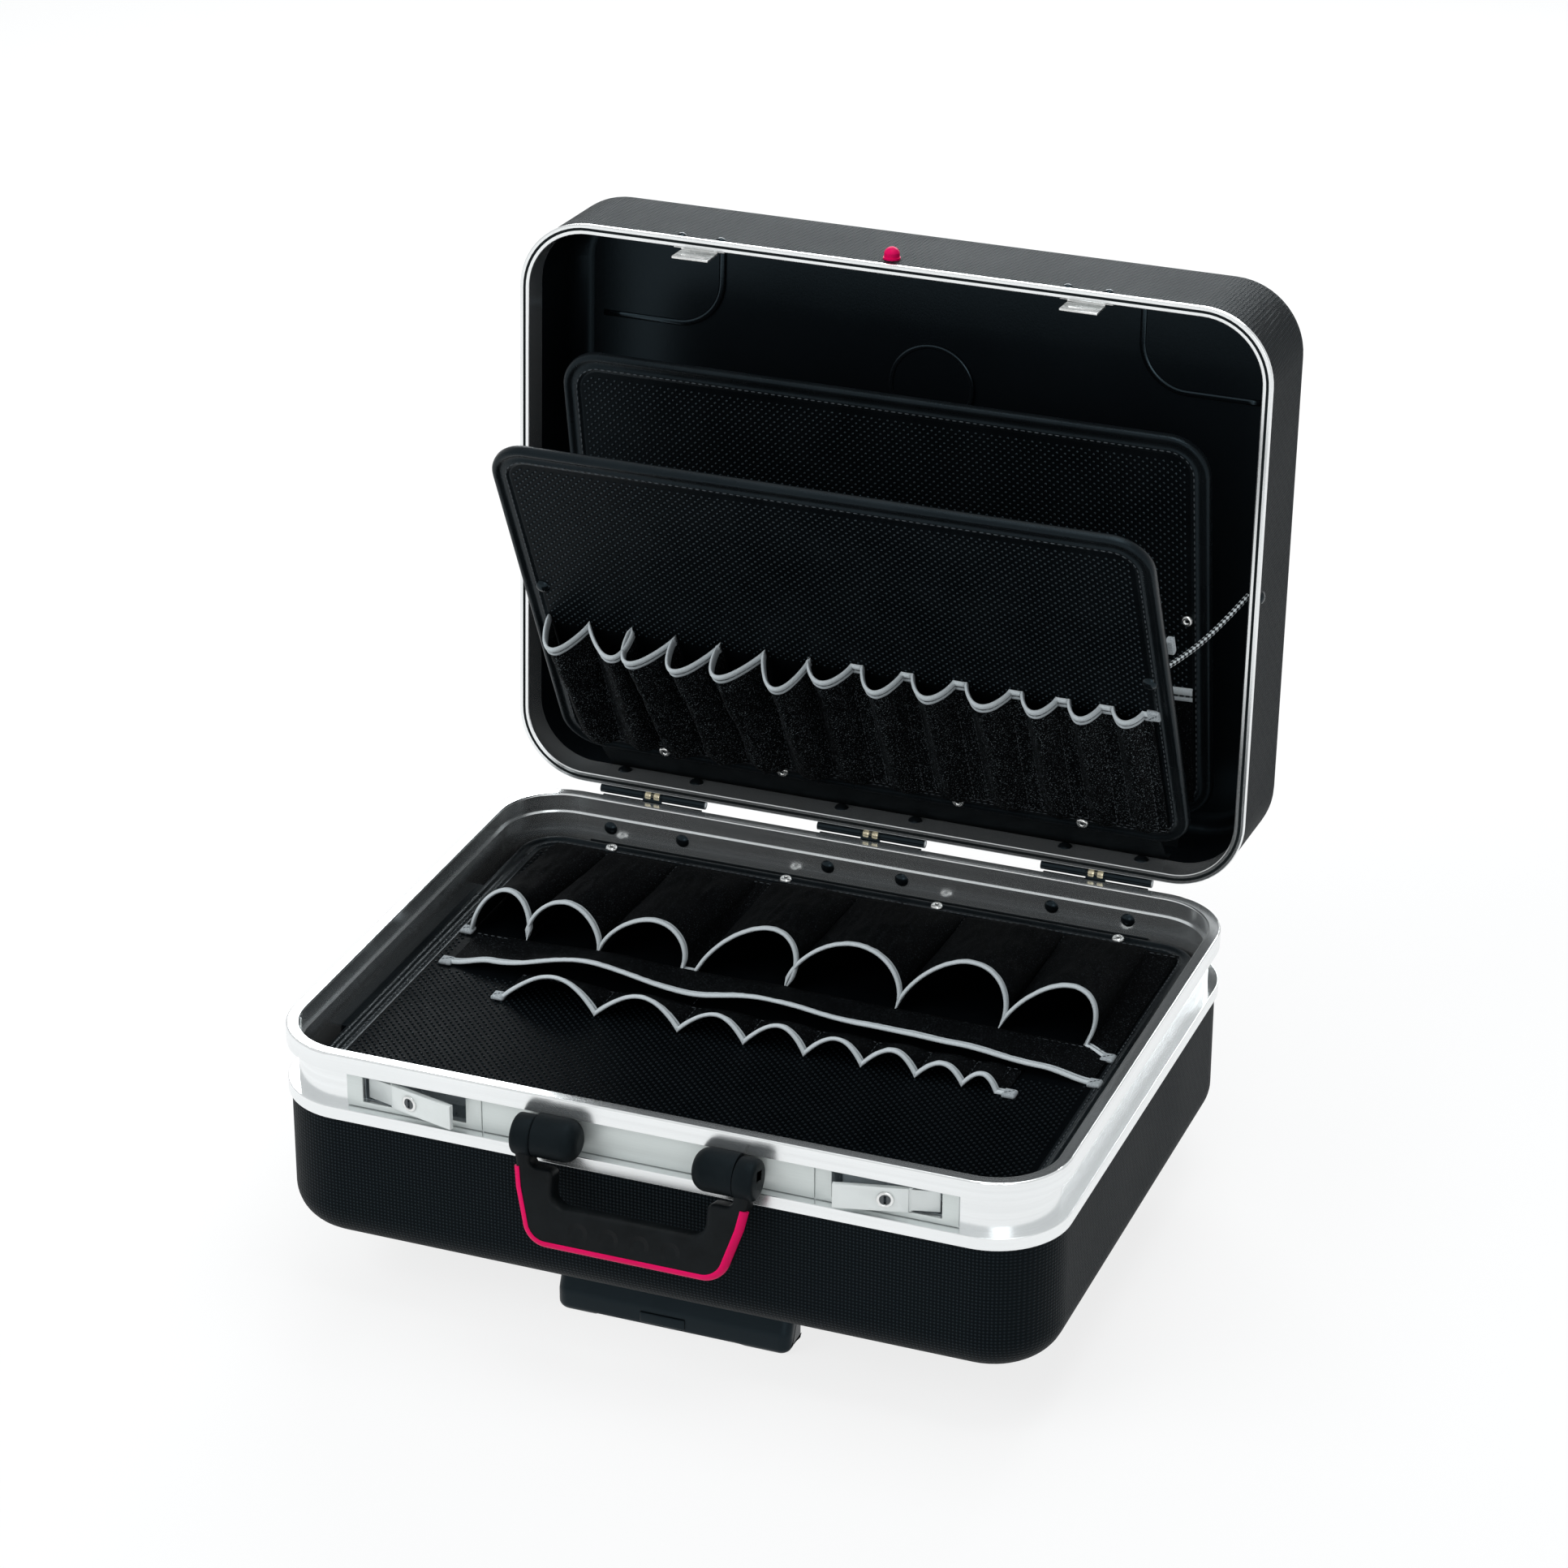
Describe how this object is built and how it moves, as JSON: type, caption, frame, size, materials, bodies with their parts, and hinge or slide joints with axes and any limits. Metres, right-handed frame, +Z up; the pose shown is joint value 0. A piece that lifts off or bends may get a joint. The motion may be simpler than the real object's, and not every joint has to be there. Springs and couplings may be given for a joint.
{
  "type": "tool case",
  "caption": "Hard wheeled tool case, open: moulded shells on an aluminium frame, pocketed tool boards, tilt latches, carry handle and pull-out trolley.",
  "frame": {"origin": "on the floor, under the middle of the case's frame, on the flat underside of the trolley housing", "axes": "+Z up, +X to the right seen from the front, -Y towards the front, where the handle and the latches are"},
  "size_m": [0.4922, 0.5132, 0.5595],
  "materials": {
    "shell": "matt black moulded plastic with a fine pressed diamond texture",
    "frame": "satin anodised aluminium section",
    "plate": "satin grey sheet",
    "steel": "satin nickel-plated steel",
    "hardware": "black, slightly glossy",
    "handle": "black soft-touch plastic",
    "accent": "satin crimson plastic",
    "board": "black imitation leather with raised dots",
    "cloth": "black woven nylon, bound with silver-grey tape",
    "strap": "black webbing",
    "rivet": "bright domed rivets",
    "seal": "black rubber",
    "cord": "dark grey braided cord",
    "tube": "satin anodised tube",
    "trolley": "black moulded plastic",
    "tyre": "black polyurethane wheel"
  },
  "bodies": {
    "case": {"base_shell": "shell", "base_frame": "frame", "base_seam_plate": "plate", "name_strip": "plate", "latch_plate_left": "plate", "latch_plate_right": "plate", "latch_case_left": "steel", "latch_case_right": "steel", "latch_pins": "steel", "handle_brackets": "handle", "handle_pins": "steel", "hinge_base_leaves": "hardware", "hinge_pins": "steel", "base_hinge_rivets": "hardware", "base_board_strap": "strap", "board_ledges": "frame", "trolley_housing": "trolley", "trolley_outer_tubes": "tube", "wheel_brackets": "trolley", "wheel_axles": "steel"},
    "lid": {"lid_shell": "shell", "lid_frame": "frame", "lid_seal": "seal", "hinge_lid_leaves": "hardware", "lid_hinge_rivets": "hardware", "keeper_left": "steel", "keeper_right": "steel", "keeper_rivets": "hardware", "lid_buffer": "accent", "cord_screws": "hardware", "front_board_strap": "strap", "rear_board_strap": "strap", "stay_cord_left": "cord", "stay_cord_right": "cord"},
    "front_board": {"front_board": "board", "front_board_pockets": "cloth", "front_board_rivets": "rivet", "front_board_studs": "hardware"},
    "rear_board": {"rear_board": "board", "rear_board_pocket": "cloth", "rear_board_rivets": "rivet"},
    "base_board": {"base_board": "board", "base_board_rivets": "rivet", "base_pockets_large": "cloth", "base_pocket_strip": "cloth", "base_pockets_small": "cloth"},
    "handle": {"handle_grip": "handle", "handle_stripe": "accent"},
    "latch_left": {"latch_lever_left": "steel", "latch_hook_left": "steel"},
    "latch_right": {"latch_lever_right": "steel", "latch_hook_right": "steel"},
    "lock_left": {"lock_left": "steel"},
    "lock_right": {"lock_right": "steel"},
    "trolley_middle": {"trolley_middle_tubes": "tube"},
    "trolley_pull": {"trolley_inner_tubes": "tube", "trolley_grip": "trolley"},
    "trolley_button": {"trolley_button": "trolley"},
    "wheel_left": {"wheel_left": "tyre"},
    "wheel_right": {"wheel_right": "tyre"}
  },
  "joints": [
    {"name": "lid_hinge", "type": "hinge", "parent": "case", "child": "lid", "pos_m": [0, 0.1912, 0.1745], "axis": [1, 0, 0], "range_deg": [0, 93.2], "deforming": ["front_board_pockets", "rear_board_pocket", "base_pockets_large", "base_pocket_strip", "base_pockets_small"]},
    {"name": "front_board_fold", "type": "hinge", "parent": "lid", "child": "front_board", "pos_m": [0, 0.1963, 0.20296], "axis": [1, 0, 0], "range_deg": [-28.2, 0], "deforming": ["stay_cord_left", "stay_cord_right"]},
    {"name": "rear_board_fold", "type": "hinge", "parent": "lid", "child": "rear_board", "pos_m": [0, 0.23873, 0.20059], "axis": [1, 0, 0], "range_deg": [-12.3, 0]},
    {"name": "base_board_lift", "type": "hinge", "parent": "case", "child": "base_board", "pos_m": [0, 0.1754, 0.1405], "axis": [1, 0, 0], "range_deg": [-45, 0]},
    {"name": "handle_swing", "type": "hinge", "parent": "case", "child": "handle", "pos_m": [0, -0.197, 0.1495], "axis": [-1, 0, 0], "range_deg": [0, 90]},
    {"name": "latch_left_tilt", "type": "hinge", "parent": "case", "child": "latch_left", "pos_m": [-0.1604, -0.1798, 0.14775], "axis": [0, 0, 1], "range_deg": [-16, 14]},
    {"name": "latch_right_tilt", "type": "hinge", "parent": "case", "child": "latch_right", "pos_m": [0.1604, -0.1798, 0.14775], "axis": [0, 0, -1], "range_deg": [-16, 14]},
    {"name": "lock_left_turn", "type": "hinge", "parent": "latch_left", "child": "lock_left", "pos_m": [-0.14854, -0.1876, 0.14775], "axis": [-0.2419, -0.9703, 0], "range_deg": [0, 90]},
    {"name": "lock_right_turn", "type": "hinge", "parent": "latch_right", "child": "lock_right", "pos_m": [0.14854, -0.1876, 0.14775], "axis": [0.2419, -0.9703, 0], "range_deg": [0, 90]},
    {"name": "trolley_stage_one", "type": "slide", "parent": "case", "child": "trolley_middle", "axis": [0, -1, 0], "range_m": [0, 0.185]},
    {"name": "trolley_stage_two", "type": "slide", "parent": "trolley_middle", "child": "trolley_pull", "axis": [0, -1, 0], "range_m": [0, 0.18]},
    {"name": "trolley_button_press", "type": "slide", "parent": "trolley_pull", "child": "trolley_button", "axis": [0, 1, 0], "range_m": [0, 0.002], "stiffness_N_per_m": 200, "springref_m": -0.0005},
    {"name": "wheel_left_spin", "type": "hinge", "parent": "case", "child": "wheel_left", "pos_m": [-0.181, 0.2065, 0.03], "axis": [1, 0, 0], "continuous": true},
    {"name": "wheel_right_spin", "type": "hinge", "parent": "case", "child": "wheel_right", "pos_m": [0.181, 0.2065, 0.03], "axis": [1, 0, 0], "continuous": true}
  ],
  "couplings": [
    {"joint": "front_board_fold", "follows": "lid_hinge", "ratio": -0.3025},
    {"joint": "rear_board_fold", "follows": "lid_hinge", "ratio": -0.1319}
  ]
}
